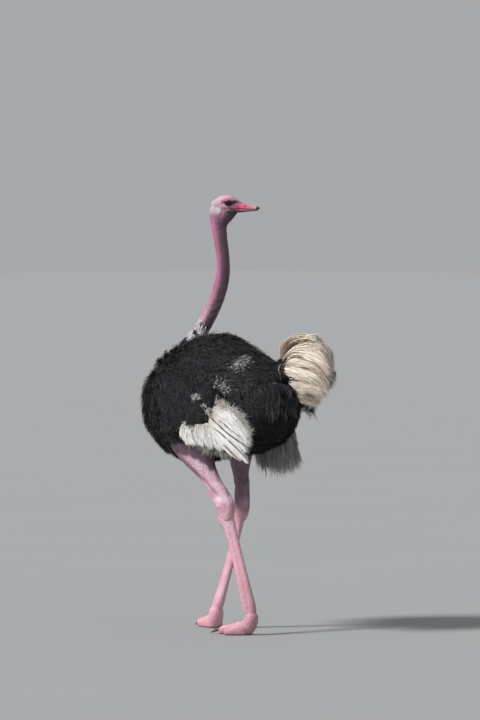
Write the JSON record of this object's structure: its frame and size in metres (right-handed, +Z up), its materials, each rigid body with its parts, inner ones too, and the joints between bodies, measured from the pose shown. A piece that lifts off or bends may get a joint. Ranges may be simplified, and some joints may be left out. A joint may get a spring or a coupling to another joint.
{
  "type": "ostrich model",
  "caption": "Life-size male Masai ostrich in mid stride, neck drawn back, head turned over its right shoulder, tail plumes raised.",
  "frame": {"origin": "centre of the bounding box's footprint, on the floor", "axes": "+Z up from the floor; the bird walks towards -Y, and its left side is +X"},
  "size_m": [0.6896, 1.1085, 2.0753],
  "materials": {
    "plumage_black": "matt",
    "plumage_white": "matt",
    "plumage_cream": "matt",
    "skin_pink": "matt",
    "down_pale": "matt",
    "horn_rose": "satin",
    "skin_shank": "satin",
    "horn_dark": "satin",
    "eye_dark": "gloss"
  },
  "bodies": {
    "root": {"trunk": "plumage_black", "tail": "plumage_cream", "wing_left": "plumage_white", "wing_right": "plumage_white", "neck_base": "down_pale", "neck_lower": "skin_pink", "neck_upper": "skin_pink", "head": "down_pale", "bill_upper": "horn_rose", "bill_lower": "horn_rose", "eye_left": "eye_dark", "eye_right": "eye_dark", "ear_left": "plumage_white", "ear_right": "plumage_white", "thigh_left": "skin_pink", "shank_left": "skin_shank", "foot_left": "skin_shank", "toe_large_left": "skin_shank", "toe_small_left": "skin_shank", "claw_left": "horn_dark", "thigh_right": "skin_pink", "shank_right": "skin_shank", "foot_right": "skin_shank", "toe_large_right": "skin_shank", "toe_small_right": "skin_shank", "claw_right": "horn_dark"}
  },
  "joints": []
}
